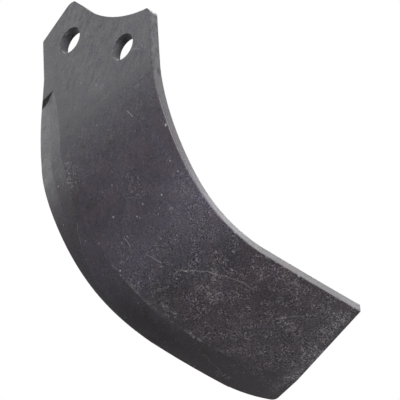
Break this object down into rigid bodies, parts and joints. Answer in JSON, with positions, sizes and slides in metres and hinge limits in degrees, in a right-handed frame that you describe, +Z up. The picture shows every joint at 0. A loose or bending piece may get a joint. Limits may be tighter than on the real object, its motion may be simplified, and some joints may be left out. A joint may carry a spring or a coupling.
{
  "type": "rotary tiller blade",
  "caption": "Forged steel rotary tiller blade: a flat bar shank with bolt holes, bent sideways and bevelled to a cutting edge, with a square-cut tip.",
  "frame": {"origin": "midway between the two bolt holes, on the outside face of the shank", "axes": "+X along the line of the two holes towards the blade's inner edge, +Y through the shank from its outside face towards the side the tip bends to, +Z up towards the rotor shaft"},
  "size_m": [0.1725, 0.1415, 0.1607],
  "materials": {
    "blade": "matt black-grey coat over hardened spring steel, dusty and lightly scratched"
  },
  "bodies": {
    "root": {"blade": "blade"}
  },
  "joints": []
}
